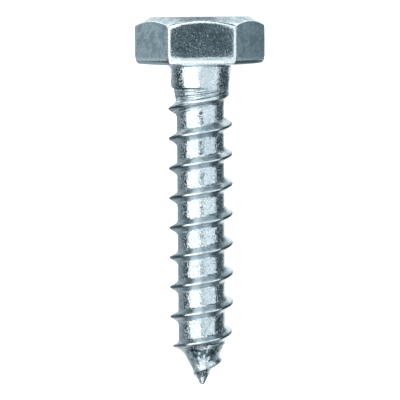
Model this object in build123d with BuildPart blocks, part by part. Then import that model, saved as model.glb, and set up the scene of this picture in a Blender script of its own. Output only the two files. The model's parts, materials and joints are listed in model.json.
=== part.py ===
"""A 1/4 in by 1-1/4 in hex lag screw: one piece of steel, headed, rolled and zinc plated.

The screw is built upright about the Z axis, with the bearing face under its head at Z = 0, the head
above and the point below. It is then laid down the way it comes to rest on a floor: on the lower edge
of one flat of the head and on the last broad crest of the thread. Depth means distance below the
bearing face, towards the point. Lengths are in millimetres and angles in degrees.
"""

from build123d import *
import os
from math import asin, atan2, ceil, cos, degrees, hypot, radians, sin, tan

# Head: a hexagon with a chamfered crown, rounded corners and a rounded lower edge.
across_flats = 11.1
head_height = 4.66
crown_flat_diameter = 9.7
crown_angle = 30.0
corner_round = 0.3
lower_edge_round = 0.5

# Neck: the smooth stretch under the head, drawn down towards a sharp ledge.
neck_top_diameter = 6.28
neck_foot_diameter = 5.62
neck_length = 2.45
neck_fillet = 0.3
ledge_height = 0.05

# Collar: the part-rolled stretch between the ledge and the full core.
collar_diameter = 5.24
collar_waist_diameter = 4.86
collar_waist_drop = 0.85
collar_length = 1.95

# Core and point. The half angle is the core's, between the axis and the side of its cone.
screw_length = 31.75
core_diameter = 4.67
point_half_angle = 27.3
point_tip_radius = 0.32

# Thread ridge: single start, right-handed. A flank's angle is measured from the plane across the axis.
major_diameter = 6.28
thread_pitch = 2.937
crest_width = 0.15
head_side_flank = 31.0
point_side_flank = 34.0
root_fillet = 0.3
root_fillet_stop = 75.0
ridge_bury = 0.15
ridge_sink = 0.02

# Run-in: the ridge grows out of the neck, from behind the ledge, on the side that lies on the floor.
run_in_above_ledge = 0.315
run_in_turns = 0.75
run_in_crest_diameter = 5.4
run_in_head_flank = 78.0

# Run-out down the point, each station given by its distance back from the tip.
taper_start_from_tip = 6.85
taper_end_from_tip = 3.91
mid_point_from_tip = 2.45
ridge_end_from_tip = 0.35
taper_end_diameter = 5.74
mid_point_diameter = 3.96
ridge_end_bury = 0.03
mid_point_head_flank = 60.0
mid_point_point_flank = 38.0
ridge_end_head_flank = 70.0
ridge_end_point_flank = 45.0
mid_point_edge_scale = 0.6
ridge_end_edge_scale = 0.15

# Direction about the axis, from +X, of the flat that faces the floor once the screw lies down.
floor_direction = 90.0

core_radius = core_diameter / 2
major_radius = major_diameter / 2
point_slope = tan(radians(point_half_angle))
run_in_depth = neck_length - run_in_above_ledge
full_thread_depth = run_in_depth + run_in_turns * thread_pitch
taper_start_depth = screw_length - taper_start_from_tip
taper_end_depth = screw_length - taper_end_from_tip
mid_point_depth = screw_length - mid_point_from_tip
ridge_end_depth = screw_length - ridge_end_from_tip

# The round tip runs into the cone of the point, and the cone into the core.
tip_tangent_radius = point_tip_radius * cos(radians(point_half_angle))
tip_tangent_depth = screw_length - point_tip_radius * (1 - sin(radians(point_half_angle)))
cone_start_depth = tip_tangent_depth - (core_radius - tip_tangent_radius) / point_slope


def root_radius(depth):
    """Radius of the core at this depth, on its cylinder or on the cone of its point."""
    return core_radius - max(0.0, depth - cone_start_depth) * point_slope


def crest_direction(depth):
    """Direction about the axis in which the crest of the thread lies at this depth."""
    return floor_direction - 360 * (depth - run_in_depth) / thread_pitch


def ridge_plane(depth):
    """The plane that holds the axis and the crest at this depth, its x running outwards."""
    return Plane(Location((0, 0, -depth), (0, 0, crest_direction(depth))) * Plane.XZ.location)


def ridge_section(depth, crest_radius, head_flank, point_flank, edge_scale=1.0):
    """Section of the ridge where its crest is at this depth.

    It has the head-side flank, the crest, the point-side flank with the fillet at its root, and an
    inner end buried in the core.
    """
    half_crest = edge_scale * crest_width / 2
    fillet = edge_scale * root_fillet
    steepness = 1 / tan(radians(point_flank))
    slope = point_slope if depth > cone_start_depth else 0.0
    foot_run = max(0.0, crest_radius - root_radius(depth)) / (steepness - slope)
    foot_radius = crest_radius - foot_run * steepness - ridge_sink
    fillet_rise = fillet * (sin(radians(root_fillet_stop)) - sin(radians(point_flank)))
    fillet_start = foot_radius + fillet_rise
    fillet_height = -half_crest - (crest_radius - fillet_start) / steepness
    inner_radius = foot_radius - edge_scale * ridge_bury
    inner_height = half_crest + (crest_radius - inner_radius) * tan(radians(head_flank))
    with BuildSketch(ridge_plane(depth)) as section:
        with BuildLine():
            Polyline(
                (inner_radius, inner_height),
                (crest_radius, half_crest),
                (crest_radius, -half_crest),
                (fillet_start, fillet_height),
            )
            root = JernArc(
                start=(fillet_start, fillet_height),
                tangent=(-cos(radians(point_flank)), -sin(radians(point_flank))),
                radius=fillet,
                arc_size=root_fillet_stop - point_flank,
            )
            Polyline(root @ 1, (inner_radius, (root @ 1).Y), (inner_radius, inner_height))
        make_face()
    return section.sketch


def ridge_path(top_depth, bottom_depth):
    """Helix that climbs from the crest at the bottom depth to the crest at the top depth."""
    with BuildLine(mode=Mode.PRIVATE) as climb:
        Helix(pitch=thread_pitch, height=bottom_depth - top_depth, radius=core_radius)
    start = Location((0, 0, -bottom_depth), (0, 0, crest_direction(bottom_depth)))
    return climb.line.moved(start)


# The screw, upright: head, neck and core first, and then the thread ridge in a chain of sweeps.
with BuildPart() as upright_screw:
    with BuildSketch():
        RegularPolygon(radius=across_flats / 2, side_count=6, major_radius=False)
    extrude(amount=head_height)
    fillet(upright_screw.edges().filter_by(Axis.Z), corner_round)

    # Crown: a shallow cone takes the top corners off.
    with BuildSketch(Plane.XZ):
        with BuildLine():
            crown_radius = crown_flat_diameter / 2
            crown_drop = (across_flats - crown_radius) * tan(radians(crown_angle))
            Polyline(
                (crown_radius, head_height),
                (across_flats, head_height),
                (across_flats, head_height - crown_drop),
                close=True,
            )
        make_face()
    revolve(axis=Axis.Z, mode=Mode.SUBTRACT)
    fillet(upright_screw.faces().sort_by(Axis.Z)[0].edges(), lower_edge_round)

    # Neck, ledge, collar, core and point, turned about the axis.
    with BuildSketch(Plane.XZ):
        with BuildLine():
            collar_depth = neck_length + ledge_height
            Polyline(
                (0, head_height / 2),
                (neck_top_diameter / 2, head_height / 2),
                (neck_top_diameter / 2, 0),
                (neck_foot_diameter / 2, -neck_length),
                (collar_diameter / 2, -collar_depth),
                (collar_waist_diameter / 2, -collar_depth - collar_waist_drop),
                (core_radius, -neck_length - collar_length),
                (core_radius, -cone_start_depth),
                (tip_tangent_radius, -tip_tangent_depth),
            )
            tip = JernArc(
                start=(tip_tangent_radius, -tip_tangent_depth),
                tangent=(-sin(radians(point_half_angle)), -cos(radians(point_half_angle))),
                radius=point_tip_radius,
                arc_size=point_half_angle - 90,
            )
            Line(tip @ 1, (0, head_height / 2))
        make_face()
    revolve(axis=Axis.Z)
    under_head = upright_screw.edges().filter_by(GeomType.CIRCLE).filter_by_position(Axis.Z, -0.01, 0.01)
    fillet(under_head.sort_by(SortBy.RADIUS)[0], neck_fillet)

    # Thread: the ridge rises out of the neck, runs at full height, draws in a little, and then winds
    # down the point, where its head side widens and it dies out short of the tip. At full height it is
    # swept about a turn at a time.
    full_thread_length = taper_start_depth - full_thread_depth
    full_turns = ceil(full_thread_length / thread_pitch)
    full_thread_depths = [
        full_thread_depth + full_thread_length * turn / full_turns for turn in range(full_turns + 1)
    ]
    stations = [
        (run_in_depth, run_in_crest_diameter / 2, run_in_head_flank, point_side_flank, 1.0),
        *((depth, major_radius, head_side_flank, point_side_flank, 1.0) for depth in full_thread_depths),
        (taper_end_depth, taper_end_diameter / 2, head_side_flank, point_side_flank, 1.0),
        (
            mid_point_depth,
            mid_point_diameter / 2,
            mid_point_head_flank,
            mid_point_point_flank,
            mid_point_edge_scale,
        ),
        (
            ridge_end_depth,
            root_radius(ridge_end_depth) - ridge_end_bury,
            ridge_end_head_flank,
            ridge_end_point_flank,
            ridge_end_edge_scale,
        ),
    ]
    for upper, lower in zip(stations, stations[1:]):
        sweep(
            sections=[ridge_section(*lower), ridge_section(*upper)],
            path=ridge_path(upper[0], lower[0]),
            multisection=True,
            is_frenet=True,
        )

# Resting: the lower edge of the floor-side flat and one crest below it share the floor plane.
edge_centre_radius = across_flats / 2 - lower_edge_round


def crest_radius_at(depth):
    """Radius of the crest at this depth, over the full thread, the taper and the point."""
    if depth <= taper_start_depth:
        return major_radius
    if depth <= taper_end_depth:
        share = (depth - taper_start_depth) / (taper_end_depth - taper_start_depth)
        return major_radius + share * (taper_end_diameter / 2 - major_radius)
    share = (depth - taper_end_depth) / (mid_point_depth - taper_end_depth)
    return taper_end_diameter / 2 + share * (mid_point_diameter / 2 - taper_end_diameter / 2)


def resting_tilt(depth):
    """Tilt of the axis at which the crest at this depth touches the floor."""
    drop = edge_centre_radius - crest_radius_at(depth)
    run = depth + lower_edge_round
    return degrees(atan2(drop, run) + asin(lower_edge_round / hypot(drop, run)))


floor_crests = []
crest_depth = run_in_depth + thread_pitch
while crest_depth < mid_point_depth:
    floor_crests.append(crest_depth)
    crest_depth += thread_pitch
tilt = min(resting_tilt(depth) for depth in floor_crests)
axis_to_head = (0, cos(radians(tilt)), sin(radians(tilt)))

# The screw lies along Y, its head towards +Y, with the bearing face's centre at the origin.
with BuildPart(Plane(origin=(0, 0, 0), x_dir=(1, 0, 0), z_dir=axis_to_head)) as lag_screw:
    add(upright_screw)
lag_screw.part.label = "lag_screw"

os.makedirs("parts", exist_ok=True)
export_step(lag_screw.part, "parts/lag_screw.step")
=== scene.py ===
"""A hex-head lag screw at rest: a fine mesh of its form, its zinc plating, and a small studio round it."""
import json
import logging
import math
from dataclasses import dataclass
from enum import Enum

import bpy
import numpy as np
from mathutils import Matrix, Vector


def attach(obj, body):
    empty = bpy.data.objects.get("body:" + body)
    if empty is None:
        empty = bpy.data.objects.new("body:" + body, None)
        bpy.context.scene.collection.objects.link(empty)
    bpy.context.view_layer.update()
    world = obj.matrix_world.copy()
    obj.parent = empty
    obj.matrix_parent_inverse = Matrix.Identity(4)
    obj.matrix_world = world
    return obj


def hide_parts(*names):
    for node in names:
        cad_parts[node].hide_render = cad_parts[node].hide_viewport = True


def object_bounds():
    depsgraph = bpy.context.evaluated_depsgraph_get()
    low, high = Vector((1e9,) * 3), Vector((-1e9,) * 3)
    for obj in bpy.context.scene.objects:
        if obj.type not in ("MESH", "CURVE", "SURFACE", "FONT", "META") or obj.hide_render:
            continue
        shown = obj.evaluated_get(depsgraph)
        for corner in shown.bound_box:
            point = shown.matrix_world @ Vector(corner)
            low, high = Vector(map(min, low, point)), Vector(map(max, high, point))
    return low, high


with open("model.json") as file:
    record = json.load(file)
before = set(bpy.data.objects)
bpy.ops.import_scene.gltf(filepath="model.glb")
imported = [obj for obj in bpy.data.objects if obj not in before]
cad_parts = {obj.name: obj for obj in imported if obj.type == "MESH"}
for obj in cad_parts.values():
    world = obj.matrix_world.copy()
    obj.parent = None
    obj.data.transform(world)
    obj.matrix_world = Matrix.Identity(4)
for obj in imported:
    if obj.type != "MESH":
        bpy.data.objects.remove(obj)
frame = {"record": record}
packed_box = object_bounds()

MM = 0.001
FACING_FLOOR = 90.0
Span = tuple[float, float]
Triple = tuple[float, float, float]
Colour = Triple
Array = np.ndarray
Socket = bpy.types.NodeSocket
Tree = bpy.types.NodeTree
Source = Socket | float | tuple[float, ...]
log = logging.getLogger("lag_screw")


def mount(name: str) -> dict:
    """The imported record's mount of that name."""
    return next(m for m in frame["record"]["mounts"] if m["name"] == name)


def report(piece: bpy.types.Object) -> None:
    """Logs a piece that was built, with its kind and its place in millimetres."""
    log.info("%s: %s at (%.1f, %.1f, %.1f) mm", piece.name, piece.type.lower(), *(piece.location / MM))


class Mask(Enum):
    """What the screw's mesh says at each point, for the plating to read."""

    # Rubbed crests and head edges: partly real wear, partly a painted highlight on the side facing up.
    RUBBED_AND_HIGHLIGHT = "rubbed_and_highlight"
    # Painted shade at the crests' edges, on the flanks and under the ledge, with dark marks such as scores.
    SHADE_AND_MARKS = "shade_and_marks"
    FLANK = "flank"
    FORGED = "forged"
    SMOOTH = "smooth"
    LAPS = "laps"
    LAP_NUMBER = "lap_number"
    LAP_TURN = "lap_turn"


Skin = tuple[Array, list[list[int]], dict[Mask, Array]]


@dataclass
class RestingAxis:
    """The screw's own axes as it lies: X to the side, Y to the floor and Z towards the head, in millimetres.

    A depth is a distance from the bearing face towards the point.
    """

    origin: Vector
    to_point: Vector

    @classmethod
    def from_record(cls) -> "RestingAxis":
        """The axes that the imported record's bearing face gives."""
        face = mount("bearing_face")
        return cls(Vector(face["pos_m"]), Vector(face["axis"]).normalized())

    def matrix(self) -> Array:
        """The three axes in the frame of the part, as columns."""
        x, z = Vector((1.0, 0.0, 0.0)), -self.to_point
        return np.array([x, z.cross(x), z], float).T

    def place(self, local: Array) -> Array:
        """Points in the screw's own axes and in millimetres, as points of the part's frame in metres."""
        return np.array(self.origin, float) + MM * local @ self.matrix().T


def smooth_step(low: float, high: float | Array, value: Array) -> Array:
    """Height at a value of a soft ramp, from 0 at low to 1 at high, which may lie on either side of it."""
    t = np.clip((value - low) / (high - low), 0.0, 1.0)
    return t * t * (3.0 - 2.0 * t)


def soft_union(a: Array, b: Array, reach: Array) -> Array:
    """The larger of two radii, with a rounded hollow where they differ by less than the reach."""
    h = np.clip(reach - np.abs(a - b), 0.0, None) / reach
    return np.maximum(a, b) + h * h * reach * 0.25


@dataclass(frozen=True)
class SurfaceRipple:
    """A few crossed waves that make a rolled or forged surface slightly uneven."""

    seed: int
    height: float
    lengths: tuple[float, float]
    waves: int = 14

    def at(self, along: Array, across: Array) -> Array:
        """Height of the ripple.

        Args:
            along: First coordinate on the surface, in millimetres.
            across: Second coordinate on the surface, in millimetres.

        Returns:
            The height at each place, in millimetres.
        """
        draw = np.random.default_rng(self.seed)
        total = np.zeros(np.broadcast(along, across).shape)
        for _ in range(self.waves):
            heading = draw.uniform(0, math.tau)
            number = math.tau / draw.uniform(*self.lengths)
            phase = draw.uniform(0, math.tau)
            total += np.sin(number * (along * math.cos(heading) + across * math.sin(heading)) + phase)
        return self.height * total / math.sqrt(self.waves)


@dataclass(frozen=True)
class Score:
    """A straight dark line in the skin, from one direction and depth to another."""

    start_angle: float
    start_depth: float
    end_angle: float
    end_depth: float
    darkness: float = 0.8
    begins: Span = (-0.05, 0.1)
    ends: Span = (1.05, 0.9)
    half_width: float = 3.0

    def at(self, depth: Array, angle: Array) -> Array:
        """How dark the line is.

        Args:
            depth: Depth below the bearing face.
            angle: Direction about the axis.

        Returns:
            The share that is dark at each place.
        """
        along = (depth - self.start_depth) / (self.end_depth - self.start_depth)
        middle = self.start_angle + (self.end_angle - self.start_angle) * along
        within = smooth_step(*self.begins, along) * smooth_step(*self.ends, along)
        return self.darkness * within * np.exp(-(((angle - middle) / self.half_width) ** 2))


@dataclass
class ThreadedShank:
    """Neck, thread and point, as one skin over the axis whose rows follow the thread.

    Lengths are in millimetres and angles in degrees. A direction about the axis runs from -270 to 90: 90
    faces the floor and -90 straight up. A span holds where a soft ramp is 0 and where it is 1.
    """

    length: float = 31.747
    core_radius: float = 2.335
    thread_radius: float = mount("thread")["dims"]["r_mm"]
    pitch: float = 2.937
    crest_half_width: float = 0.075
    head_side_flank: float = 31.0
    point_side_flank: float = 34.0
    root_reach: float = 0.34
    least_root_reach: float = 1e-4
    root_starts: Span = (-0.3, 0.8)
    root_ends: Span = (31.5, 30.6)
    neck_top_radius: float = 3.14
    neck_foot_radius: float = 2.81
    neck_length: float = 2.27
    neck_fillet: float = 0.3
    ledge_height: float = 0.05
    ledge_fades: Span = (-100.0, -70.0)
    ledge_run_out: float = 1.1
    collar_radius: float = 2.62
    collar_waist_radius: float = 2.43
    collar_waist_depth: float = 3.35
    collar_end_depth: float = 4.4
    run_in_depth: float = 2.135
    run_in_radius: float = 2.7
    run_in_flank: float = 78.0
    run_in_turns: float = 0.75
    taper_start_depth: float = 24.9
    taper_end_depth: float = 27.84
    taper_end_radius: float = 2.87
    mid_point_depth: float = 29.3
    mid_point_radius: float = 1.98
    mid_point_flanks: tuple[float, float] = (60.0, 38.0)
    mid_point_edge_scale: float = 0.6
    ridge_end_depth: float = 31.4
    ridge_end_bury: float = 0.03
    ridge_end_flanks: tuple[float, float] = (70.0, 45.0)
    ridge_end_edge_scale: float = 0.15
    cone_half_angle: float = 27.3
    tip_radius: float = 0.32

    columns: int = 124
    hidden_top: float = 0.35
    crest_rows: float = 0.6
    edge_rows: tuple[float, ...] = (0.012, 0.04, 0.08)
    first_flank_row: float = 0.2
    flank_rows: int = 26

    lap_height: float = 0.03
    lap_width: float = 0.05
    lap_places: tuple[tuple[float, float], ...] = ((0.2, 0.9), (0.42, 1.0), (0.62, 0.8), (0.8, 1.0))
    lap_sway: float = 0.02
    lap_sways: int = 3
    lap_spread: float = 0.6
    lap_spread_by_run: float = 0.4
    lap_turn: float = 60.0
    least_lap_run: float = 0.2
    fan_left: Span = (-225.0, -185.0)
    fan_right: Span = (5.0, -45.0)
    fan_past_crest: Span = (1.5, 1.3)
    fan_start: float = 0.06
    fan_start_past_ledge: float = 0.3

    torn_waves: SurfaceRipple = SurfaceRipple(21, 0.02, (0.35, 1.1))
    torn_radius: float = 1.8
    torn_from: Span = (27.6, 28.1)
    torn_to: Span = (29.4, 28.9)
    torn_dark_from: Span = (27.8, 27.95)
    torn_dark_to: Span = (29.1, 28.6)
    torn_left: Span = (-130.0, -118.0)
    torn_right: Span = (-40.0, -60.0)
    torn_hollow: Span = (-1.1, -0.4)
    torn_darkness: float = 0.95
    # A painted shadow under the ledge, where the undercut is in shade.
    ledge_shadow_gap: float = 0.03
    ledge_shadow_reach: Span = (0.14, 0.04)
    ledge_shadow_side: Span = (-78.0, -95.0)
    ledge_shadow_darkness: float = 0.95
    scores: tuple[Score, ...] = (
        Score(-55.0, 24.7, -57.5, 26.3),
        Score(-46.0, 24.8, -49.5, 26.4),
        Score(-49.0, 24.9, -56.0, 25.7),
        Score(-117.74, 27.9, -102.94, 29.9, 0.85, (0.0, 0.1), (1.0, 0.8)),
    )

    threaded_from: Span = (0.2, 1.2)
    threaded_to: Span = (31.2, 30.0)
    core_waves: SurfaceRipple = SurfaceRipple(3, 0.0028, (0.45, 2.4))
    core_waves_lost: float = 0.7
    crest_waves: SurfaceRipple = SurfaceRipple(8, 0.0105, (0.35, 1.6))
    crest_waves_stretch: float = 0.2
    crest_clearance: float = 0.012
    facing_up: Span = (0.76, 0.88)
    above_point: Span = (28.9, 28.1)
    on_point: Span = (28.2, 28.9)
    proud: Span = (0.2, 0.9)
    # Rubbed crests, partly a painted highlight: the band is shifted towards the head, to where the highlight
    # falls.
    rubbed_and_highlight: Span = (0.13, 0.05)
    highlight_shift: float = 0.12
    # Painted shade: dark crest edges away from the top, a painted shadow line below each crest, and painted
    # shade on the point-side flanks.
    shaded_edge: Span = (0.22, 0.09)
    shaded_edge_shift: float = 0.02
    edge_shade: float = 0.6
    edge_shade_lost: float = 0.35
    edge_shade_fades: Span = (28.2, 29.2)
    lower_edge_from: Span = (0.0, 0.09)
    lower_edge_to: Span = (0.3, 0.15)
    lower_edge_shadow: float = 0.3
    flank: Span = (0.03, 0.35)
    flank_smoothness: float = 0.7
    lower_flank: Span = (0.0, 0.2)
    lower_flank_shade: float = 0.2
    smooth_neck: Span = (0.1, -0.2)
    neck_smoothness: float = 0.4

    def row_offsets(self) -> Array:
        """Where the rows of one turn lie, from its crest towards the point, closest together at the crest.

        Returns:
            The offsets, in millimetres.
        """
        edge = self.crest_half_width
        near = [edge + row for row in self.edge_rows]
        steps = np.linspace(self.first_flank_row, self.pitch / 2, self.flank_rows)
        point_side = near + steps[:-1].tolist()
        head_side = near + steps.tolist()
        crest = [-self.crest_rows * edge, self.crest_rows * edge]
        return np.array([-x for x in reversed(head_side)] + crest + point_side)

    def ledge_fade(self, angle: Array) -> Array:
        """How far the ledge has run out into the thread's first turn: 0 where it is sharp, 1 where gone."""
        return smooth_step(*self.ledge_fades, angle)

    def first_crest(self, angle: Array) -> Array:
        """Depth of the thread's first crest in each direction about the axis."""
        return self.run_in_depth + self.pitch * ((FACING_FLOOR - angle) / 360)

    def core(self, depth: Array, angle: Array) -> Array:
        """Radius of neck, collar, core and point, without the thread.

        Args:
            depth: Depth below the bearing face.
            angle: Direction about the axis.

        Returns:
            The radius there.
        """
        half = math.radians(self.cone_half_angle)
        tangent_depth = self.length - self.tip_radius * (1 - math.sin(half))
        cone_start = tangent_depth - (self.core_radius - self.tip_radius * math.cos(half)) / math.tan(half)
        neck = np.interp(depth, [0, self.neck_length], [self.neck_top_radius, self.neck_foot_radius])
        ledge_run = self.ledge_height + self.ledge_run_out * self.ledge_fade(angle)
        ledge = np.clip((depth - self.neck_length) / ledge_run, 0, 1)
        ledge = (self.neck_foot_radius - self.collar_radius) * ledge
        collar = np.interp(
            depth,
            [self.neck_length + self.ledge_height, self.collar_waist_depth, self.collar_end_depth],
            [0, self.collar_radius - self.collar_waist_radius, self.collar_radius - self.core_radius],
        )
        fillet = np.clip(self.neck_fillet - depth, 0.0, self.neck_fillet)
        fillet = self.neck_fillet - np.sqrt(np.clip(self.neck_fillet**2 - fillet**2, 0.0, None))
        cone = np.clip(depth - cone_start, 0.0, None) * math.tan(half)
        sagitta = np.clip(self.length - depth, 0.0, self.tip_radius)
        cap = np.sqrt(np.clip(2 * self.tip_radius * sagitta - sagitta**2, 0.0, None))
        return np.where(depth > tangent_depth, cap, np.maximum(neck - ledge - collar + fillet - cone, 0.0))

    def lap_run(self, angle: Array) -> Array:
        """Distance from the ledge to the first crest, kept above its least value."""
        return np.clip(self.first_crest(angle) - self.neck_length, self.least_lap_run, None)

    def lap_share(self, depth: Array, angle: Array) -> Array:
        """How far each place lies on the way from the ledge, at 0, to the first crest, at 1."""
        return (depth - self.neck_length) / self.lap_run(angle)

    def lap_number(self, depth: Array, angle: Array) -> Array:
        """Which lap each place lies on, from 0 at the first crest; the laps close up towards its start."""
        spread = self.lap_spread + self.lap_spread_by_run * self.lap_run(angle)
        return (self.first_crest(angle) - depth) / spread

    def lap_window(self, depth: Array, angle: Array) -> Array:
        """Where the dies left their fan of fine laps.

        Args:
            depth: Depth below the bearing face.
            angle: Direction about the axis.

        Returns:
            1 inside the fan and 0 outside.
        """
        share = self.lap_share(depth, angle)
        sides = smooth_step(*self.fan_left, angle) * smooth_step(*self.fan_right, angle)
        started = self.fan_start + self.fan_start_past_ledge * self.ledge_fade(angle)
        return sides * smooth_step(0.0, started, share) * smooth_step(*self.fan_past_crest, share)

    def torn_skin(self, depth: Array, angle: Array) -> Array:
        """Height of the skin that the dies tore at the root of the point, before it is limited to there."""
        return self.torn_waves.at(depth, np.radians(angle) * self.torn_radius)

    def rolling_marks(self, depth: Array, angle: Array) -> Array:
        """Height of the broad laps and of the torn skin.

        Args:
            depth: Depth below the bearing face.
            angle: Direction about the axis.

        Returns:
            The height at each place.
        """
        share = self.lap_share(depth, angle)
        sway = self.lap_sway * np.sin(np.radians(self.lap_sways * angle))
        laps = sum(h * np.exp(-(((share - at - sway) / self.lap_width) ** 2)) for at, h in self.lap_places)
        torn = smooth_step(*self.torn_from, depth) * smooth_step(*self.torn_to, depth)
        laps = self.lap_height * laps * self.lap_window(depth, angle)
        return laps + torn * self.torn_skin(depth, angle)

    def shadow_and_dark_marks(self, depth: Array, angle: Array) -> Array:
        """How dark each place is painted: a painted shadow under the ledge, the dark scores, and darker
        colour in the hollows of the torn skin on its upper side.

        Args:
            depth: Depth below the bearing face.
            angle: Direction about the axis.

        Returns:
            The share that is dark.
        """
        # A painted shadow just under the ledge, on one side.
        ledge_shadow = smooth_step(*self.ledge_shadow_reach, np.abs(depth - self.neck_length - self.ledge_shadow_gap))
        ledge_shadow = self.ledge_shadow_darkness * ledge_shadow * smooth_step(*self.ledge_shadow_side, angle)
        # Darker colour in the hollows of the torn skin, on its upper side only.
        torn = smooth_step(*self.torn_dark_from, depth) * smooth_step(*self.torn_dark_to, depth)
        torn = torn * smooth_step(*self.torn_left, angle) * smooth_step(*self.torn_right, angle)
        hollow = smooth_step(*self.torn_hollow, self.torn_skin(depth, angle) / self.torn_waves.height)
        scored = np.max([score.at(depth, angle) for score in self.scores], axis=0)
        return ledge_shadow + scored + self.torn_darkness * torn * hollow

    def station(self, depth: Array, values: tuple[float, ...]) -> Array:
        """A size of the ridge between the depths at which it is set.

        Args:
            depth: Depth of the crest.
            values: The size at the ridge's start, full height, taper's start and end, mid-point and end.

        Returns:
            The size at each depth.
        """
        depths = [
            self.run_in_depth,
            self.run_in_depth + self.run_in_turns * self.pitch,
            self.taper_start_depth,
            self.taper_end_depth,
            self.mid_point_depth,
            self.ridge_end_depth,
        ]
        return np.interp(depth, depths, values)

    def flank_run(self, depth: Array, angles: tuple[float, ...]) -> Array:
        """How far a flank runs along the axis for each millimetre of its height, by its stations' angles."""
        return self.station(depth, tuple(math.tan(math.radians(angle)) for angle in angles))

    def ridge(self, crest_depth: Array, depth: Array) -> Array:
        """Radius of one turn of the thread.

        Args:
            crest_depth: Depth of that turn's crest, in this direction about the axis.
            depth: Depth at which the radius is wanted.

        Returns:
            The radius, or 0 beyond either end of the thread.
        """
        full, head, point = self.thread_radius, self.head_side_flank, self.point_side_flank
        (mid_head, mid_point), (end_head, end_point) = self.mid_point_flanks, self.ridge_end_flanks
        end_radius = float(self.core(np.array(self.ridge_end_depth), np.array(0.0))) - self.ridge_end_bury
        radii = (self.run_in_radius, full, full, self.taper_end_radius, self.mid_point_radius, end_radius)
        scales = (1.0, 1.0, 1.0, 1.0, self.mid_point_edge_scale, self.ridge_end_edge_scale)
        head_run = self.flank_run(crest_depth, (self.run_in_flank, head, head, head, mid_head, end_head))
        point_run = self.flank_run(crest_depth, (point, point, point, point, mid_point, end_point))
        offset = depth - crest_depth
        half_crest = self.station(crest_depth, scales) * self.crest_half_width
        beyond = np.clip(np.abs(offset) - half_crest, 0.0, None)
        fall = np.where(offset < 0, beyond / head_run, beyond / point_run)
        inside = (crest_depth >= self.run_in_depth) & (crest_depth <= self.ridge_end_depth)
        return np.where(inside, self.station(crest_depth, radii) - fall, 0.0)

    def thread(self, depth: Array, turned: Array, core: Array) -> tuple[Array, Array]:
        """The whole thread, from its three turns nearest to each place.

        Args:
            depth: Depth below the bearing face.
            turned: Direction about the axis, from 0 to 360.
            core: Radius of the core there.

        Returns:
            The thread's radius, and the distance past the nearest crest that stands out of the core.
        """
        first_crest = self.first_crest(turned)
        turn = np.rint((depth - first_crest) / self.pitch)
        radius = np.zeros(depth.shape)
        gap = np.full(depth.shape, 3 * self.pitch)
        for step in (-1, 0, 1):
            crest_depth = first_crest + self.pitch * (turn + step)
            ridge = self.ridge(crest_depth, depth)
            radius = np.maximum(radius, ridge)
            nearer = (ridge > core) & (np.abs(depth - crest_depth) < np.abs(gap))
            gap = np.where(nearer, depth - crest_depth, gap)
        return radius, gap

    def wear(self, depth: Array, upward: Array, height: Array, gap: Array) -> tuple[Array, Array]:
        """Where the crests are rubbed bright, with a painted highlight on the side facing up, and where
        their edges and lower sides carry painted shade.

        Args:
            depth: Depth below the bearing face.
            upward: 1 straight up from the axis, and 0 at its sides.
            height: Share of the thread's height.
            gap: Distance past the nearest crest.

        Returns:
            The share that is rubbed bright and painted as a highlight, and the share that is painted shade,
            at each place.
        """
        # The rubbed band is a painted highlight as well as wear: it is kept to the side facing up and
        # shifted to where the highlight falls.
        top_side = smooth_step(*self.facing_up, upward) * smooth_step(*self.above_point, depth)
        proud = smooth_step(*self.proud, height)
        rubbed_and_highlight = smooth_step(*self.rubbed_and_highlight, np.abs(gap + self.highlight_shift)) * proud * top_side
        proud = np.minimum(proud + smooth_step(*self.on_point, depth), 1)
        # Painted shade on the crests' edges, and a painted shadow line just below each crest.
        edge = smooth_step(*self.shaded_edge, np.abs(gap - self.shaded_edge_shift)) * proud
        lower_edge = smooth_step(*self.lower_edge_from, gap) * smooth_step(*self.lower_edge_to, gap) * proud
        faded = self.edge_shade_lost * smooth_step(*self.edge_shade_fades, depth)
        shade_and_marks = (self.edge_shade - faded) * edge * (1 - top_side)
        return rubbed_and_highlight, shade_and_marks + self.lower_edge_shadow * lower_edge

    def grid(self) -> tuple[Array, Array]:
        """Where the skin's points lie: each row follows the thread once about the axis.

        Returns:
            Depths and directions about the axis, from 0 to 360, as rows of columns.
        """
        turns = math.ceil((self.length + self.hidden_top) / self.pitch) + 3
        turned = np.linspace(0, 360, self.columns + 1)
        first = self.first_crest(turned) - 2 * self.pitch
        rows = (np.arange(turns)[:, None] * self.pitch + self.row_offsets()[None, :]).ravel()
        depth = np.clip(first[None, :] + rows[:, None], -self.hidden_top, self.length)
        return depth, np.broadcast_to(turned, depth.shape)

    def faces(self, shape: tuple[int, int]) -> list[list[int]]:
        """The skin's faces. The last column of a row closes on the first column one turn above.

        Args:
            shape: Number of rows and of columns.

        Returns:
            Faces as lists of point numbers.
        """
        per_turn = len(self.row_offsets())
        number = np.arange(shape[0] * shape[1]).reshape(shape)
        number[per_turn:, self.columns] = number[:-per_turn, 0]
        quads = np.stack([number[:-1, :-1], number[1:, :-1], number[1:, 1:], number[:-1, 1:]], -1)
        return quads[per_turn : shape[0] - 1].reshape(-1, 4).tolist()

    def build(self, axis: RestingAxis) -> Skin:
        """The skin's points, faces and masks.

        Args:
            axis: The screw's own axes as it lies.

        Returns:
            Points in metres, faces as lists of point numbers, and a value per point for each mask.
        """
        depth, turned = self.grid()
        angle = np.where(turned > FACING_FLOOR, turned - 360, turned)
        past_ledge = depth - self.neck_length
        core = self.core(depth, angle)
        thread, gap = self.thread(depth, turned, core)
        rooted = smooth_step(*self.root_starts, past_ledge + self.ledge_fade(angle))
        rooted = rooted * smooth_step(*self.root_ends, depth)
        radius = soft_union(core, thread, np.maximum(self.root_reach * rooted, self.least_root_reach))
        height = np.clip((radius - self.core_radius) / (self.thread_radius - self.core_radius), 0, 1)

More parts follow.
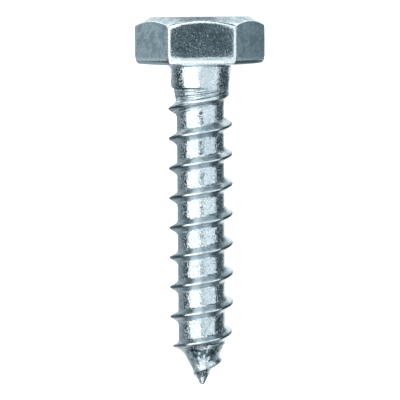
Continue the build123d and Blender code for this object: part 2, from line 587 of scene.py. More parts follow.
        arc = np.radians(turned)
        threaded = smooth_step(*self.threaded_from, past_ledge) * smooth_step(*self.threaded_to, depth)
        uneven = self.core_waves.at(depth, arc * self.core_radius) * (1 - self.core_waves_lost * height)
        crest = self.crest_waves.at(depth * self.crest_waves_stretch, arc * self.thread_radius) * height
        radius = radius + self.rolling_marks(depth, angle) + threaded * (uneven + crest)
        radius = radius - self.crest_clearance * threaded * height
        local = np.stack([radius * np.cos(arc), radius * np.sin(arc), -depth], -1)

        rubbed_and_highlight, shade_and_marks = self.wear(depth, -np.sin(arc), height, gap)
        flank = smooth_step(*self.flank, height) * threaded
        # Painted shade on the point-side flanks.
        shade_and_marks = shade_and_marks + self.lower_flank_shade * flank * smooth_step(*self.lower_flank, gap)
        smooth = self.neck_smoothness * smooth_step(*self.smooth_neck, past_ledge)
        masks = {
            Mask.RUBBED_AND_HIGHLIGHT: rubbed_and_highlight,
            Mask.SHADE_AND_MARKS: np.clip(shade_and_marks + self.shadow_and_dark_marks(depth, angle), 0, 1),
            Mask.FLANK: flank,
            Mask.FORGED: np.zeros(depth.shape),
            Mask.SMOOTH: np.maximum(smooth, self.flank_smoothness * flank),
            Mask.LAPS: self.lap_window(depth, angle),
            Mask.LAP_NUMBER: self.lap_number(depth, angle),
            Mask.LAP_TURN: angle / self.lap_turn,
        }
        points = axis.place(local.reshape(-1, 3))
        return points, self.faces(depth.shape), {mask: values.ravel() for mask, values in masks.items()}


@dataclass
class HexHead:
    """The hexagon, its chamfered crown and its rounded lower edge, as one skin, in millimetres."""

    half_across_flats: float = mount("hex_head")["dims"]["r_mm"]
    height: float = mount("hex_head")["dims"]["length_mm"]
    corner_round: float = 0.3
    least_corner_round: float = 0.02
    lower_round: float = 0.58
    lower_steps: int = 8
    foot_share: float = 0.97
    crown_radius: float = 4.85
    crown_angle: float = 30.0
    edge_round: float = 0.07
    clearance: float = 0.001
    underside_radii: tuple[float, ...] = (3.1, 3.6, 4.2)
    top_radii: tuple[float, ...] = (4.2, 3.2, 2.1, 1.0, 0.0)
    worn_foot: float = 0.034
    worn_arc: float = 0.031
    worn_corner: float = 0.05
    worn_reach: float = 0.28
    worn_waves: SurfaceRipple = SurfaceRipple(17, 0.035, (0.5, 2.5))
    wave_step: float = 0.13
    wear_elsewhere: float = 0.3
    facing_up: Span = (0.8, 0.88)
    beside_corner: tuple[float, ...] = (1.0, 0.6, 0.2)
    corner_wear_and_highlight: float = 0.8
    flat_columns: int = 22
    corner_columns: int = 9

    def outline(self, inset: float) -> Array:
        """The hexagon's outline, drawn in by an inset, its corners' arcs kept.

        Args:
            inset: How far the outline is drawn in.

        Returns:
            Points as rows, one per column.
        """
        flat = self.half_across_flats - self.clearance - inset
        corner = max(self.corner_round - inset, self.least_corner_round)
        reach = (flat - corner) / math.cos(math.radians(30))
        points = []
        for side in range(6):
            corner_angle = math.radians(60 * side)
            centre = np.array([math.cos(corner_angle), math.sin(corner_angle)]) * reach
            for k in range(self.corner_columns):
                bearing = corner_angle + math.radians(-30 + 60 * k / (self.corner_columns - 1))
                points.append(centre + corner * np.array([math.cos(bearing), math.sin(bearing)]))
            start = points[-1]
            next_angle = corner_angle + math.radians(60)
            next_centre = np.array([math.cos(next_angle), math.sin(next_angle)]) * reach
            bearing = next_angle - math.radians(30)
            end = next_centre + corner * np.array([math.cos(bearing), math.sin(bearing)])
            for k in range(1, self.flat_columns):
                points.append(start + (end - start) * k / self.flat_columns)
        return np.array(points)

    def build(self, axis: RestingAxis) -> Skin:
        """The head's points, faces and masks.

        Args:
            axis: The screw's own axes as it lies.

        Returns:
            Points in metres, faces as lists of point numbers, and a value per point for each mask.
        """
        slope = math.tan(math.radians(self.crown_angle))
        outer = self.outline(0.0)
        size = len(outer)
        reach = np.hypot(outer[:, 0], outer[:, 1])
        unit = outer / reach[:, None]
        # Wear, and the painted highlight that goes with it, are strongest on the faces turned up.
        topmost = smooth_step(*self.facing_up, -unit[:, 1])
        topmost = self.wear_elsewhere + (1 - self.wear_elsewhere) * topmost
        beside = list(self.beside_corner)
        between = [0.0] * (self.flat_columns - 1 - 2 * len(beside))
        by_corner = np.tile([1.0] * self.corner_columns + beside + between + beside[::-1], 6)
        blunt = (self.worn_corner * by_corner * topmost)[:, None] * unit
        uneven = self.worn_waves.at(np.arange(size) * self.wave_step, np.zeros(size))
        rings: list[tuple[Array, Array, Array]] = []

        def ring(xy: Array, z: Array | float, wear_and_highlight: Array | float) -> None:
            """Adds one closed row of points, with a height and a wear and painted highlight for all or for
            each.
            """
            rings.append((xy, np.broadcast_to(z, size), np.broadcast_to(wear_and_highlight, size)))

        # The underside, the rounded lower edge and the wear above it, painted brighter as wear and painted
        # highlight.
        for radius in self.underside_radii:
            ring(unit * radius, 0.0, 0.0)
        ring(self.outline(self.lower_round) * self.foot_share, 0.0, 0.2)
        for k in range(self.lower_steps):
            turn = math.radians(90 * k / self.lower_steps)
            foot = self.outline(self.lower_round * (1 - math.sin(turn)) + self.worn_foot)
            ring(foot - blunt, self.lower_round * (1 - math.cos(turn)), 1.0 if k > 1 else 0.4)
        lower = ((0.0, 1.0, 1.0), (0.1, 0.55, 0.7), (0.2, 0.12, 0.35), (self.worn_reach, 0.0, 0.1))
        for rise, share, blunted in lower:
            edge = self.outline(share * self.worn_foot) - blunted * blunt
            ring(edge, self.lower_round + rise + uneven * (rise > 0), share)

        # The flats, and the worn edge in which they meet the crown, painted brighter as wear and painted
        # highlight on the faces turned up.
        crown = self.height - (reach - self.crown_radius) * slope
        bottom, top = self.lower_round + self.worn_reach, crown - self.edge_round - self.worn_reach
        for share in (0.25, 0.5, 0.75):
            ring(outer, bottom + uneven * (1 - share) + (top - bottom) * share, 0.0)
        for drop, share, blunted in ((self.worn_reach, 0.0, 0.1), (0.17, 0.04, 0.4), (0.08, 0.3, 0.75)):
            edge = outer - unit * (share * self.worn_arc * topmost)[:, None] - blunted * blunt
            ring(edge, crown - self.edge_round - drop + 0.4 * uneven, 0.7 * share * topmost)
        for rise, inset, wear_and_highlight in ((-1.0, 0.0, 0.8), (-0.35, 0.01, 1.0), (0.12, 0.031, 0.7)):
            edge = outer - unit * (self.worn_arc * topmost + inset)[:, None] - blunt
            ring(edge, crown + self.edge_round * rise, wear_and_highlight * topmost)

        # The chamfer of the crown, its worn edge and the flat top.
        start = 2 * self.edge_round
        ring(outer - unit * start, crown + start * slope, 0.0)
        for share in (0.3, 0.6, 0.88):
            radius = reach - (reach - self.crown_radius) * share
            ring(unit * radius[:, None], self.height - (radius - self.crown_radius) * slope, 0.0)
        for outwards, drop, wear_and_highlight in ((0.05, 0.05 * slope, 0.6), (0.0, 0.006, 1.0), (-0.06, 0.0, 0.6)):
            ring(unit * (self.crown_radius + outwards), self.height - drop, wear_and_highlight)
        for radius in self.top_radii:
            ring(unit * radius, self.height, 0.0)

        faces = []
        for row in range(len(rings) - 1):
            for k in range(size):
                a, b = row * size + k, row * size + (k + 1) % size
                faces.append([a, b, b + size, a + size])
        # The corners are painted brighter on the faces turned up: partly wear, partly a painted highlight.
        corner = np.tile([1.0] * self.corner_columns + [0.0] * (self.flat_columns - 1), 6) * topmost
        edge_reach = self.half_across_flats + 0.05
        corner = self.corner_wear_and_highlight * corner
        wear_and_highlight = [np.maximum(wear_and_highlight, corner * (np.hypot(*xy.T) > edge_reach)) for xy, _, wear_and_highlight in rings]
        masks = {mask: np.zeros(len(rings) * size) for mask in Mask}
        masks[Mask.RUBBED_AND_HIGHLIGHT] = np.concatenate(wear_and_highlight)
        masks[Mask.FORGED] = np.ones(len(rings) * size)
        local = np.concatenate([np.column_stack([xy, z]) for xy, z, _ in rings])
        return axis.place(local), faces, masks


@dataclass
class LagScrew:
    """The whole screw: one piece, shank and head together."""

    shank: ThreadedShank
    head: HexHead
    axis: RestingAxis
    same_place: float = 1e-8

    def build(self) -> bpy.types.Object:
        """One mesh object of the screw, riding on the part's body. Points that share a place are merged.

        Returns:
            The object, without its material.
        """
        points, faces, masks = self.shank.build(self.axis)
        head_points, head_faces, head_masks = self.head.build(self.axis)
        faces = faces + [[n + len(points) for n in face] for face in head_faces]
        points = np.concatenate([points, head_points])
        places = np.round(points / self.same_place).astype(np.int64)
        keys, first, merged = np.unique(places, axis=0, return_index=True, return_inverse=True)
        merged = merged.reshape(-1)
        kept = [list(dict.fromkeys(int(merged[n]) for n in face)) for face in faces]
        kept = [face for face in kept if len(face) > 2]
        used = np.unique([n for face in kept for n in face])
        renumber = np.full(len(keys), -1)
        renumber[used] = np.arange(len(used))
        mesh = bpy.data.meshes.new("lag_screw_skin")
        mesh.from_pydata(points[first[used]].tolist(), [], [[int(renumber[n]) for n in f] for f in kept])
        for mask in Mask:
            values = np.concatenate([masks[mask], head_masks[mask]])[first[used]]
            layer = mesh.attributes.new(mask.value, "FLOAT", "POINT")
            layer.data.foreach_set("value", values.astype(np.float32))
        mesh.validate()
        mesh.shade_smooth()
        piece = add_object("lag_screw_plated", mesh)
        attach(piece, "root")
        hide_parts("lag_screw")
        return piece


def add_object(name: str, data: bpy.types.ID) -> bpy.types.Object:
    """A new object in the scene.

    Args:
        name: The object's name.
        data: Its mesh, lamp or camera.

    Returns:
        The object.
    """
    piece = bpy.data.objects.new(name, data)
    bpy.context.scene.collection.objects.link(piece)
    return piece


def new_material(name: str) -> tuple[bpy.types.Material, Tree, bpy.types.Node]:
    """A new material.

    Args:
        name: The material's name.

    Returns:
        The material, its nodes and the one that shades it.
    """
    material = bpy.data.materials.new(name)
    material.use_nodes = True
    return material, material.node_tree, material.node_tree.nodes["Principled BSDF"]


def read_mask(tree: Tree, mask: Mask) -> Socket:
    """A mask that the mesh carries, read in a node tree.

    Args:
        tree: The material's or the group's nodes.
        mask: The mask to read.

    Returns:
        The mask's value.
    """
    node = tree.nodes.new("ShaderNodeAttribute")
    node.attribute_name = mask.value
    return node.outputs["Fac"]


def feed(tree: Tree, source: Source, target: Socket) -> None:
    """Links a socket to the target, or writes a constant on it.

    Args:
        tree: The nodes that hold both.
        source: The socket to link, or the constant.
        target: The input to feed.
    """
    if isinstance(source, Socket):
        tree.links.new(source, target)
    else:
        target.default_value = source


def arithmetic(tree: Tree, operation: str, a: Source, b: Source = 0.0) -> Socket:
    """A sum or another step of arithmetic.

    Args:
        tree: The nodes that hold it.
        operation: The Math node's operation.
        a: The first value.
        b: The second value.

    Returns:
        The result.
    """
    node = tree.nodes.new("ShaderNodeMath")
    node.operation = operation
    feed(tree, a, node.inputs[0])
    feed(tree, b, node.inputs[1])
    return node.outputs[0]


class NodeGroup:
    """A shader node group under construction, with small helpers for its nodes."""

    def __init__(self, name: str, inputs: dict[str, float], outputs: tuple[str, ...]) -> None:
        """Makes the group and its sockets.

        Args:
            name: The group's name.
            inputs: Each input's name and default.
            outputs: Each output's name.
        """
        self.tree = bpy.data.node_groups.new(name, "ShaderNodeTree")
        for label, value in inputs.items():
            socket = self.tree.interface.new_socket(label, in_out="INPUT", socket_type="NodeSocketFloat")
            socket.default_value = value
        for label in outputs:
            self.tree.interface.new_socket(label, in_out="OUTPUT", socket_type="NodeSocketFloat")
        self.entry = self.tree.nodes.new("NodeGroupInput")
        self.exit = self.tree.nodes.new("NodeGroupOutput")

    def given(self, label: str) -> Socket:
        """The value that the material gives to one of the inputs."""
        return self.entry.outputs[label]

    def give(self, label: str, source: Socket) -> None:
        """Sends a value out of the group."""
        feed(self.tree, source, self.exit.inputs[label])

    def mask(self, mask: Mask) -> Socket:
        """One of the masks that the mesh carries."""
        return read_mask(self.tree, mask)

    def place(self) -> Socket:
        """Coordinates on the screw."""
        return self.tree.nodes.new("ShaderNodeTexCoord").outputs["Object"]

    def noise(self, vector: Socket, size: float, detail: float = 2.0, unit: float = MM) -> Socket:
        """Noise whose features have a given size.

        Args:
            vector: The coordinates.
            size: The features' size, in units.
            detail: How much finer noise lies on it.
            unit: Length of a unit in the coordinates.

        Returns:
            The noise, around 0.5.
        """
        node = self.tree.nodes.new("ShaderNodeTexNoise")
        node.inputs["Scale"].default_value = 1 / (size * unit)
        node.inputs["Detail"].default_value = detail
        feed(self.tree, vector, node.inputs["Vector"])
        return node.outputs["Fac"]

    def math(self, operation: str, a: Source, b: Source = 0.0) -> Socket:
        """A sum or another step of arithmetic in the group."""
        return arithmetic(self.tree, operation, a, b)

    def ramp(self, source: Socket, low: float, high: float) -> Socket:
        """The source, stretched from low and high to 0 and 1 and kept between them.

        Args:
            source: The value to stretch.
            low: The value that becomes 0.
            high: The value that becomes 1.

        Returns:
            The stretched value.
        """
        node = self.tree.nodes.new("ShaderNodeMapRange")
        node.inputs["From Min"].default_value = low
        node.inputs["From Max"].default_value = high
        feed(self.tree, source, node.inputs["Value"])
        return node.outputs["Result"]

    def stretched(self, scale: Triple) -> Socket:
        """Coordinates on the screw, scaled.

        Args:
            scale: The factor along each axis.

        Returns:
            The scaled coordinates.
        """
        node = self.tree.nodes.new("ShaderNodeMapping")
        node.inputs["Scale"].default_value = scale
        feed(self.tree, self.place(), node.inputs["Vector"])
        return node.outputs["Vector"]


@dataclass(frozen=True)
class ZincEffects:
    """The effects that the plating is made of, each as one node group.

    Sizes are in millimetres. A span holds where a ramp of the noise is 0 and where it is 1.
    """

    fine_size: float = 0.17
    broad_size: float = 0.3
    dent_size: float = 0.14
    dents: Span = (0.58, 0.7)
    dent_depth: float = 0.55
    glint_size: float = 0.12
    glint_gathering_size: float = 1.7
    glints: Span = (0.94, 1.0)
    cloud_size: float = 0.9
    clouds: Span = (0.47, 0.6)
    cloud_share: float = 0.8
    pit_size: float = 0.16
    pits: Span = (0.48, 0.38)
    matt_size: float = 0.16
    matt_spots: Span = (0.63, 0.7)
    line_width: float = 0.11
    line_stretch: Triple = (1.0, 0.08, 1.0)
    sparse_line_width: float = 0.28
    sparse_line_stretch: Triple = (1.0, 0.12, 0.6)
    sparse_lines: Span = (0.62, 0.72)
    laps_per_number: float = 11.0
    laps_per_turn: float = 0.8
    lap_height: float = 3.0
    lap_roots: Span = (0.475, 0.395)
    lap_darkness: float = 0.9
    scratch_size: float = 1.1
    scratch_stretch: Triple = (1.0, 0.45, 1.0)
    scratch_width: Span = (0.01, 0.003)
    scuff_size: float = 1.9
    scuffs: Span = (0.56, 0.66)
    stain_size: float = 2.4
    stained: Span = (0.42, 0.7)
    speckle_size: float = 0.35
    speckles: Span = (0.45, 0.68)
    speckle_share: float = 0.55

    def crystal_grain(self) -> Tree:
        """Fine crystals of the coat: a height, sparse bright grains, the head's pits and matt spots.

        Returns:
            The node group.
        """
        outputs = ("Height", "Sparkle", "Pits", "Matt")
        group = NodeGroup("crystal_grain", {"Forged": 0.0, "Smooth": 0.0}, outputs)
        on_head, smooth, place = group.given("Forged"), group.given("Smooth"), group.place()
        fine = group.noise(place, self.fine_size, 1.8)
        broad = group.noise(place, self.broad_size)
        pebble = group.noise(place, self.fine_size, 2.5)
        dent = group.ramp(group.noise(place, self.dent_size, 0.5), *self.dents)
        rolled = group.math("ADD", group.math("MULTIPLY", fine, 0.45), group.math("MULTIPLY", broad, 0.7))
        rolled = group.math("SUBTRACT", rolled, group.math("MULTIPLY", dent, self.dent_depth))
        rolled = group.math("MULTIPLY", rolled, group.math("SUBTRACT", 1.0, smooth))
        forged = group.math("ADD", group.math("MULTIPLY", pebble, 0.24), group.math("MULTIPLY", fine, 0.12))
        gap = group.math("MULTIPLY", group.math("SUBTRACT", forged, rolled), on_head)
        group.give("Height", group.math("ADD", rolled, gap))

        gathered = group.math("MULTIPLY", group.noise(place, self.glint_gathering_size, 1.0), 0.4)
        spot = group.math("ADD", group.noise(place, self.glint_size, 1.0), gathered)
        group.give("Sparkle", group.math("MULTIPLY", group.ramp(spot, *self.glints), on_head))

        cloud = group.ramp(group.noise(place, self.cloud_size, 3.0), *self.clouds)
        pit = group.ramp(group.noise(place, self.pit_size), *self.pits)
        pit = group.math("MAXIMUM", pit, group.math("MULTIPLY", cloud, self.cloud_share))
        group.give("Pits", group.math("MULTIPLY", pit, on_head))

        bare = group.math("SUBTRACT", group.math("SUBTRACT", 1.0, on_head), smooth)
        matt = group.ramp(group.noise(place, self.matt_size, 1.0), *self.matt_spots)
        group.give("Matt", group.math("MULTIPLY", matt, bare))
        return group.tree

    def draw_lines(self) -> Tree:
        """Fine lines along the screw, from drawing and handling: a height.

        Returns:
            The node group.
        """
        group = NodeGroup("draw_lines", {"Amount": 1.0}, ("Height",))
        close = group.noise(group.stretched(self.line_stretch), self.line_width)
        sparse = group.noise(group.stretched(self.sparse_line_stretch), self.sparse_line_width, 3.0)
        sparse = group.math("MULTIPLY", group.ramp(sparse, *self.sparse_lines), 0.5)
        lines = group.math("ADD", group.math("MULTIPLY", close, 0.6), sparse)
        group.give("Height", group.math("MULTIPLY", lines, group.given("Amount")))
        return group.tree

    def die_laps(self) -> Tree:
        """Laps that fan out from the first crest: a height, and darker colour in their roots.

        Returns:
            The node group.
        """
        group = NodeGroup("die_laps", {}, ("Height", "Root_darkening"))
        number, turn, amount = (group.mask(mask) for mask in (Mask.LAP_NUMBER, Mask.LAP_TURN, Mask.LAPS))
        place = group.tree.nodes.new("ShaderNodeCombineXYZ")
        feed(group.tree, group.math("MULTIPLY", number, self.laps_per_number), place.inputs["X"])
        feed(group.tree, group.math("MULTIPLY", turn, self.laps_per_turn), place.inputs["Y"])
        streaks = group.noise(place.outputs["Vector"], 1.0, 1.5, unit=1.0)
        relief = group.math("MULTIPLY", group.math("SUBTRACT", streaks, 0.5), amount)
        group.give("Height", group.math("MULTIPLY", relief, self.lap_height))
        # The roots of the laps are drawn darker.
        roots = group.math("MULTIPLY", group.ramp(streaks, *self.lap_roots), amount)
        group.give("Root_darkening", group.math("MULTIPLY", roots, self.lap_darkness))
        return group.tree

    def scratches(self) -> Tree:
        """Sparse thin scratches and scuffs from the barrel and the box: a mask.

        Returns:
            The node group.
        """
        group = NodeGroup("scratches", {"Amount": 1.0}, ("Mask",))
        winding = group.noise(group.stretched(self.scratch_stretch), self.scratch_size, 1.0)
        line = group.math("ABSOLUTE", group.math("SUBTRACT", winding, 0.5))
        patch = group.ramp(group.noise(group.place(), self.scuff_size, 1.0), *self.scuffs)
        scratched = group.math("MULTIPLY", group.ramp(line, *self.scratch_width), patch)
        group.give("Mask", group.math("MULTIPLY", scratched, group.given("Amount")))
        return group.tree

    def stains(self) -> Tree:
        """Soft uneven patches of the coat: a mask.

        Returns:
            The node group.
        """
        group = NodeGroup("stains", {}, ("Mask",))
        place = group.place()
        broad = group.ramp(group.noise(place, self.stain_size, 4.0), *self.stained)
        speckled = group.ramp(group.noise(place, self.speckle_size, 3.0), *self.speckles)
        stained = group.math("ADD", broad, group.math("MULTIPLY", speckled, self.speckle_share))
        group.give("Mask", group.math("MINIMUM", stained, 1.0))
        return group.tree


@dataclass(frozen=True)
class ZincPlating:
    """Bright blue-white zinc over rolled steel: fine crystals, soft stains, rubbed crests and edges that
    also carry a painted highlight, and painted shade at the crests' edges, the flanks and under the ledge.
    """

    bright: Colour = (0.66, 0.72, 0.75)
    stained: Colour = (0.52, 0.60, 0.64)
    # Rubbed zinc, which also serves as a painted highlight.
    rubbed_and_highlight: Colour = (0.8, 0.86, 0.88)
    pitted: Colour = (0.36, 0.46, 0.5)
    forged: Colour = (0.69, 0.82, 0.88)
    forged_share: float = 0.5
    glint: Colour = (0.62, 0.86, 1.0)
    # Painted shade, and the colour of dark marks.
    shade_and_marks: Colour = (0.065, 0.11, 0.125)
    scratched: Colour = (0.25, 0.29, 0.31)
    rolled_roughness: float = 0.1
    forged_roughness: float = 0.17
    flank_roughness: float = 0.24
    rubbed_roughness: float = 0.16
    matt_roughness: float = 0.42
    glint_roughness: float = 0.55
    rolled_lines: float = 0.2
    rolled_scratches: float = 0.65
    forged_scratches: float = 0.3
    relief: float = 0.045

    @staticmethod
    def place_effect(tree: Tree, effect: Tree) -> bpy.types.Node:
        """Places one of the effects in the material.

        Args:
            tree: The material's nodes.
            effect: The effect's node group.

        Returns:
            The node that stands for it.
        """
        node = tree.nodes.new("ShaderNodeGroup")
        node.node_tree = effect
        return node

    @staticmethod
    def blend(tree: Tree, share: Socket, a: Source, b: float | Colour) -> Socket:
        """Mixes two numbers, or two colours where the second is one.

        Args:
            tree: The material's nodes.
            share: How much of the second.
            a: The first, as a socket or a constant.
            b: The second.

        Returns:
            The mix.
        """
        node = tree.nodes.new("ShaderNodeMix")
        node.data_type = "RGBA" if isinstance(b, tuple) else "FLOAT"
        for source, socket in zip((share, a, b), [socket for socket in node.inputs if socket.enabled]):
            feed(tree, (*source, 1) if isinstance(source, tuple) else source, socket)
        return next(socket for socket in node.outputs if socket.enabled)

    def material(self) -> bpy.types.Material:
        """The plating as a material, which reads the masks that the screw's mesh carries.

        Returns:
            The material.
        """
        material, tree, shader = new_material("zinc_plated_steel")
        shader.inputs["Metallic"].default_value = 1.0

        wanted = (Mask.FORGED, Mask.RUBBED_AND_HIGHLIGHT, Mask.SHADE_AND_MARKS, Mask.FLANK, Mask.SMOOTH)
        forged, rubbed_and_highlight, shade_and_marks, flank, smooth = (read_mask(tree, mask) for mask in wanted)
        make = ZincEffects()
        made = (make.crystal_grain(), make.draw_lines(), make.die_laps(), make.scratches(), make.stains())
        grain, lines, laps, scratches, stains = (self.place_effect(tree, effect) for effect in made)
        sparkle = grain.outputs["Sparkle"]
        tree.links.new(forged, grain.inputs["Forged"])
        tree.links.new(smooth, grain.inputs["Smooth"])
        tree.links.new(self.blend(tree, forged, self.rolled_lines, 0.0), lines.inputs["Amount"])
        scratched = self.blend(tree, forged, self.rolled_scratches, self.forged_scratches)
        tree.links.new(scratched, scratches.inputs["Amount"])

        tone = self.blend(tree, stains.outputs["Mask"], self.bright, self.stained)
        # The rubbed colour is partly a painted highlight; the dark colour is painted shade and dark marks.
        for share, colour in (
            (self.blend(tree, forged, 0.0, self.forged_share), self.forged),
            (grain.outputs["Pits"], self.pitted),
            (rubbed_and_highlight, self.rubbed_and_highlight),
            (shade_and_marks, self.shade_and_marks),
            (laps.outputs["Root_darkening"], self.shade_and_marks),
            (scratches.outputs["Mask"], self.scratched),
            (sparkle, self.glint),
        ):
            tone = self.blend(tree, share, tone, colour)
        tree.links.new(tone, shader.inputs["Base Color"])

        rough = self.blend(tree, forged, self.rolled_roughness, self.forged_roughness)
        for share, roughness in (
            (flank, self.flank_roughness),
            (rubbed_and_highlight, self.rubbed_roughness),
            (grain.outputs["Matt"], self.matt_roughness),
            (sparkle, self.glint_roughness),
        ):
            rough = self.blend(tree, share, rough, roughness)
        tree.links.new(rough, shader.inputs["Roughness"])

        height = grain.outputs["Height"]
        for more in (lines.outputs["Height"], laps.outputs["Height"]):
            height = arithmetic(tree, "ADD", height, more)
        bump = tree.nodes.new("ShaderNodeBump")
        bump.inputs["Distance"].default_value = self.relief * MM
        tree.links.new(height, bump.inputs["Height"])
        tree.links.new(bump.outputs["Normal"], shader.inputs["Normal"])
        return material


@dataclass
class Softbox:
    """A flat lamp far away, facing the screw and seen in reflections as an evenly bright field.

    Its ranges are directions across and along the screw, in degrees from straight up.
    """

    name: str
    across: Span
    along: Span
    level: float
    colour: Colour = (1.0, 1.0, 1.0)
    distance: float = 150.0

    def build(self) -> bpy.types.Object:
        """The lamp, filling its ranges of directions.

        Returns:
            The lamp's object.
        """
        turn, lean = (math.radians(sum(pair) / 2) for pair in (self.across, self.along))
        half_across, half_along = (math.radians((b - a) / 2) for a, b in (self.across, self.along))
        outward = Vector((math.sin(turn) * math.cos(lean), math.sin(lean), math.cos(turn) * math.cos(lean)))
        side = Vector((0.0, 1.0, 0.0)).cross(outward).normalized()
        turned = Matrix((side, outward.cross(side), outward)).transposed()
        lamp = bpy.data.lights.new(self.name, "AREA")
        lamp.shape = "RECTANGLE"
        lamp.size = 2 * self.distance * math.tan(half_across) * MM
        lamp.size_y = 2 * self.distance * math.tan(half_along) * MM
        lamp.color = self.colour
        lamp.energy = self.level * math.pi * lamp.size * lamp.size_y
        panel = add_object(self.name, lamp)
        panel.matrix_world = Matrix.Translation(outward * self.distance * MM) @ turned.to_4x4()
        return panel


@dataclass
class GlowingCard:
    """A grey card that glows by its own level and that only reflections show: it lights nothing and casts no
    shadow. It is bent along its length. Lengths are in millimetres.

    Its section is a row of stops, each with its place across the screw, its height from the axis and how
    brightly the card glows there.
    """

    name: str
    stops: tuple[Triple, ...]
    reach: Span
    dark_colour: Colour = (0.52, 0.83, 0.97)
    pale_colour: Colour = (0.8, 0.94, 1.0)
    pale_level: float = 0.5

    def build(self) -> bpy.types.Object:
        """The card, over its reach along the screw.

        Returns:
            The card's object.
        """
        points = [(x * MM, y * MM, z * MM) for x, z, _ in self.stops for y in self.reach]
        faces = [(2 * i, 2 * i + 1, 2 * i + 3, 2 * i + 2) for i in range(len(self.stops) - 1)]
        mesh = bpy.data.meshes.new(self.name)
        mesh.from_pydata(points, [], faces)
        levels = mesh.attributes.new("level", "FLOAT", "POINT")
        levels.data.foreach_set("value", [level for _, _, level in self.stops for _ in self.reach])
        mesh.materials.append(self.material())
        card = add_object(self.name, mesh)
        card.visible_camera = False
        card.visible_diffuse = False
        card.visible_shadow = False
        return card

    def material(self) -> bpy.types.Material:
        """A plain face that glows by the level on the mesh.

        Returns:
            The material.
        """
        material, tree, shader = new_material(self.name)
        shader.inputs["Base Color"].default_value = (0, 0, 0, 1)
        shader.inputs["Specular IOR Level"].default_value = 0.0
        level = tree.nodes.new("ShaderNodeAttribute")
        level.attribute_name = "level"
        tint = tree.nodes.new("ShaderNodeValToRGB")
        tint.color_ramp.elements[0].color = (*self.dark_colour, 1)
        tint.color_ramp.elements[1].color = (*self.pale_colour, 1)
        tint.color_ramp.elements[1].position = self.pale_level
        tree.links.new(level.outputs["Fac"], tint.inputs["Fac"])
        tree.links.new(tint.outputs["Color"], shader.inputs["Emission Color"])
        tree.links.new(level.outputs["Fac"], shader.inputs["Emission Strength"])
        return material


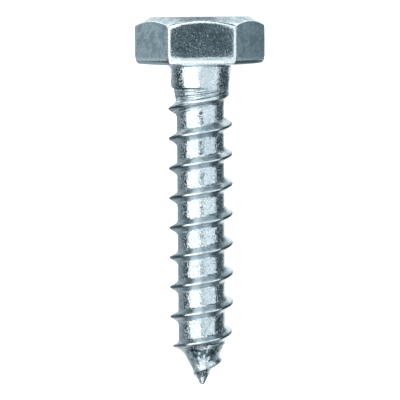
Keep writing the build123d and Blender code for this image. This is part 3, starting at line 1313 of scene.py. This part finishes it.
@dataclass
class Studio:
    """A pale floor, soft lamps with a dark gap between them, and glowing grey cards that only reflections
    show. Lengths are in millimetres.
    """

    floor_size: float = 3000.0
    floor_colour: Colour = (0.8, 0.8, 0.8)
    floor_lift: float = 0.6
    sky_colour: Colour = (0.62, 0.84, 1.0)
    sky_level: float = 0.12
    lamp_tint: Colour = (0.91, 0.975, 1.0)
    wall: float = 12.0
    left_top: float = 4.3
    right_top: float = 3.6
    ground: float = -5.3
    flag_height: float = 45.0

    def floor(self, height: float) -> bpy.types.Object:
        """The floor that the screw lies on.

        Args:
            height: Height of the floor, in metres.

        Returns:
            The floor.
        """
        half = self.floor_size * MM / 2
        corners = [(-half, -half, 0), (half, -half, 0), (half, half, 0), (-half, half, 0)]
        mesh = bpy.data.meshes.new("floor")
        mesh.from_pydata(corners, [], [(0, 1, 2, 3)])
        mesh.materials.append(self.floor_material())
        floor = add_object("floor", mesh)
        floor.location.z = height
        return floor

    def floor_material(self) -> bpy.types.Material:
        """Pale paper, lifted towards white where it is looked at and where it is mirrored.

        Returns:
            The material.
        """
        material, tree, shader = new_material("pale_floor")
        shader.inputs["Base Color"].default_value = (*self.floor_colour, 1)
        shader.inputs["Roughness"].default_value = 1.0
        shader.inputs["Specular IOR Level"].default_value = 0.0
        shader.inputs["Emission Color"].default_value = (1, 1, 1, 1)
        path = tree.nodes.new("ShaderNodeLightPath")
        seen = path.outputs["Is Camera Ray"]
        for ray in ("Is Glossy Ray", "Is Transmission Ray"):
            seen = arithmetic(tree, "MAXIMUM", seen, path.outputs[ray])
        lift = arithmetic(tree, "MULTIPLY", seen, self.floor_lift)
        tree.links.new(lift, shader.inputs["Emission Strength"])
        return material

    def sky(self) -> None:
        """The dim grey room above."""
        world = bpy.data.worlds.new("room")
        world.use_nodes = True
        background = world.node_tree.nodes["Background"]
        background.inputs["Color"].default_value = (*self.sky_colour, 1)
        background.inputs["Strength"].default_value = self.sky_level
        bpy.context.scene.world = world

    def softboxes(self) -> list[Softbox]:
        """The lamps, with a dark gap straight above.

        Returns:
            The lamps, not yet built.
        """
        pale = self.lamp_tint
        return [
            Softbox("left_softbox", (-73.5, -8.6), (-44.0, 55.0), 1.9),
            Softbox("left_low_softbox", (-73.5, -7.0), (-64.0, -44.0), 1.25),
            Softbox("right_softbox", (6.0, 78.0), (-20.0, 40.0), 1.15, pale),
            Softbox("right_point_softbox", (-7.0, 71.0), (-42.0, -20.0), 0.9, pale),
            Softbox("right_low_softbox", (-7.0, 78.0), (-64.0, -42.0), 0.36, pale),
            Softbox("tip_softbox", (-66.0, 66.0), (-82.0, -64.0), 1.5),
            Softbox("head_softbox", (-7.0, 7.0), (12.0, 70.0), 1.2),
        ]

    def upright(self, across: float, *levels: tuple[float, float]) -> tuple[Triple, ...]:
        """Stops of an upright part of a card, from their heights and how bright it is at each."""
        return tuple((across, height, level) for height, level in levels)

    def lying(self, *levels: tuple[float, float]) -> tuple[Triple, ...]:
        """Stops of a part that lies near the floor, from their places and how bright it is at each."""
        return tuple((across, self.ground, level) for across, level in levels)

    def left_cards(self) -> list[GlowingCard]:
        """The cards on the left, from the head to the tip.

        Returns:
            The cards, not yet built.
        """
        side, top = -self.wall, self.left_top
        head = self.upright(side, (top, 0.33), (1.0, 0.5)) + self.lying((side, 0.5), (-8.4, 0.62))
        shank = self.upright(side, (top, 0.06), (0.3, 0.06), (-1.2, 0.14), (-3.4, 0.26))
        shank = shank + self.lying((side, 0.34), (-8.4, 0.42), (-3.3, 0.5))
        cone = self.upright(side, (top, 0.34), (0.0, 0.42)) + self.lying((side, 0.5), (-3.0, 0.5))
        cone_wall = self.upright(side, (top, 0.5), (self.ground, 0.6))
        tip_wall = self.upright(side, (top, 0.12), (self.ground, 0.1))
        return [
            GlowingCard("left_head_card", head, (-1.5, 6.4)),
            GlowingCard("left_card", shank, (-30.0, -1.6)),
            GlowingCard("left_cone_card", cone, (-33.8, -30.1)),
            GlowingCard("left_cone_wall", cone_wall, (-45.0, -33.95)),
            GlowingCard("tip_wall", tip_wall, (-74.0, -45.05)),
        ]

    def right_cards(self) -> list[GlowingCard]:
        """The cards on the right, from the head to the tip.

        Returns:
            The cards, not yet built.
        """
        side, top = self.wall, self.right_top
        head = self.upright(side, (top, 0.17), (0.3, 0.38), (-3.4, 0.27))
        head = head + self.lying((side, 0.27), (9.0, 0.5))
        shank = self.lying((side, 0.1), (8.2, 0.14), (6.6, 0.36), (5.0, 0.8))
        shank = self.upright(side, (top, 0.09)) + shank
        cone = self.upright(side, (top, 0.1), (0.0, 0.3)) + self.lying((side, 0.42), (2.6, 0.5))
        tip = self.lying((-side, 0.1), (side, 0.1)) + self.upright(side, (top, 0.1))
        return [
            GlowingCard("right_head_card", head, (-1.5, 6.4)),
            GlowingCard("right_card", shank, (-30.0, -1.6)),
            GlowingCard("right_cone_card", cone, (-33.8, -30.1)),
            GlowingCard("tip_card", tip, (-74.0, -33.9)),
        ]

    def head_cards(self) -> list[GlowingCard]:
        """The glowing card beyond the head, for its crown, and a dimly glowing flag high over the head,
        which blocks no light.

        Returns:
            The cards, not yet built.
        """
        left = ((-self.wall, 1.15), (-6.5, 1.05), (-4.2, 0.46))
        right = ((4.2, 0.5), (7.0, 1.0), (self.wall, 1.1))
        beyond = self.lying(*left, (0.0, 0.36), *right)
        glowing_flag = tuple((across, self.flag_height, 0.088) for across in (-6.5, 9.9))
        return [
            GlowingCard("far_card", beyond, (6.5, 60.0), (0.8, 0.93, 1.0), (0.95, 0.99, 1.0)),
            GlowingCard("glowing_flag", glowing_flag, (-9.2, 5.4), (0.46, 0.84, 1.0)),
        ]

    def build(self, height: float) -> None:
        """Sets up floor, room, lamps and cards.

        Args:
            height: Height of the floor, in metres.
        """
        report(self.floor(height))
        self.sky()
        for piece in (*self.softboxes(), *self.left_cards(), *self.right_cards(), *self.head_cards()):
            report(piece.build())


@dataclass
class StudioCamera:
    """A long lens almost straight above the screw. Lengths are in millimetres and angles in degrees."""

    position: Triple = (-9.07, -14.15, 220.35)
    pitch: float = 0.217
    yaw: float = -2.32
    roll: float = -0.617
    lens: float = 202.66
    sensor: float = 36.0

    def build(self) -> bpy.types.Object:
        """The camera, set as the scene's own.

        Returns:
            The camera's object.
        """
        camera = bpy.data.cameras.new("camera")
        camera.sensor_width = self.sensor
        camera.lens = self.lens
        camera.clip_start = 0.01
        camera.clip_end = 10.0
        eye = add_object("camera", camera)
        eye.location = Vector(self.position) * MM
        turn = (
            Matrix.Rotation(math.radians(self.pitch), 3, "X")
            @ Matrix.Rotation(math.radians(self.yaw), 3, "Y")
            @ Matrix.Rotation(math.radians(self.roll), 3, "Z")
        )
        eye.rotation_euler = turn.to_euler()
        bpy.context.scene.camera = eye
        return eye


def main() -> None:
    """Builds the screw, its studio and the camera."""
    logging.basicConfig(level=logging.INFO, format="%(name)s: %(message)s")
    report(StudioCamera().build())
    screw = LagScrew(ThreadedShank(), HexHead(), RestingAxis.from_record()).build()
    screw.data.materials.append(ZincPlating().material())
    report(screw)
    triangles = sum(len(face.vertices) - 2 for face in screw.data.polygons)
    log.info("%s: %d points, %d triangles", screw.name, len(screw.data.vertices), triangles)
    Studio().build(packed_box[0].z)
    bpy.context.scene.view_settings.view_transform = "Standard"


if __name__ == "__main__":
    main()
